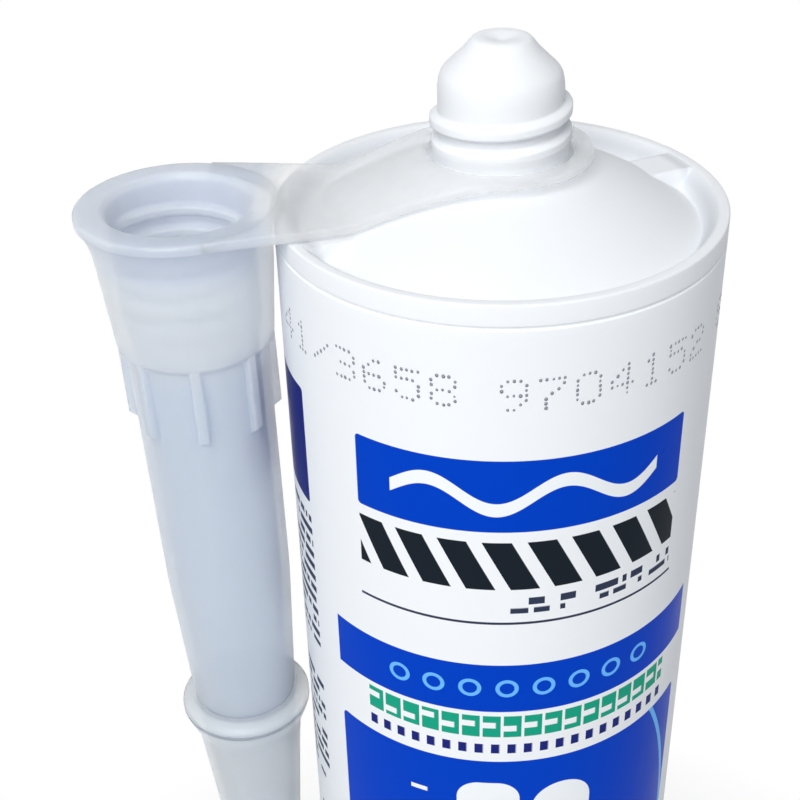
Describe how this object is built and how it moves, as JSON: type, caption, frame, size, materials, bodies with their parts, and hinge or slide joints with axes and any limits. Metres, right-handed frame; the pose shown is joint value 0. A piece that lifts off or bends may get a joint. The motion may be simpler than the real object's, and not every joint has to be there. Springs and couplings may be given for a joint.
{
  "type": "caulk tube",
  "caption": "White sealant cartridge with threaded neck, rear piston, and a translucent capped nozzle hanging beside it from a moulded strap and ring.",
  "frame": {"origin": "centre of the barrel's rear rim, on the barrel's axis", "axes": "+Z along the barrel's axis, from the rear rim up to the neck; the nozzle hangs on the -X side"},
  "size_m": [0.0716, 0.05, 0.2331],
  "materials": {
    "barrel_white": "satin",
    "piston_white": "satin",
    "sealant_white": "soft",
    "nozzle_translucent": "satin, milky",
    "cap_translucent": "satin, milky"
  },
  "bodies": {
    "tube": {"barrel": "barrel_white", "sealant": "sealant_white"},
    "plunger": {"piston": "piston_white"},
    "spout": {"nozzle": "nozzle_translucent"},
    "spout_cap": {"nozzle_cap": "cap_translucent"}
  },
  "joints": [
    {"name": "piston_slide", "type": "slide", "parent": "tube", "child": "plunger", "axis": [0, 0, 1], "range_m": [0, 0.178], "deforming": ["sealant"]},
    {"name": "nozzle_swivel", "type": "hinge", "parent": "tube", "child": "spout", "pos_m": [0, 0, 0.22], "axis": [0, 0, 1], "continuous": true},
    {"name": "cap_slide", "type": "slide", "parent": "spout", "child": "spout_cap", "axis": [0, 0, -1], "range_m": [0, 0.05]}
  ]
}
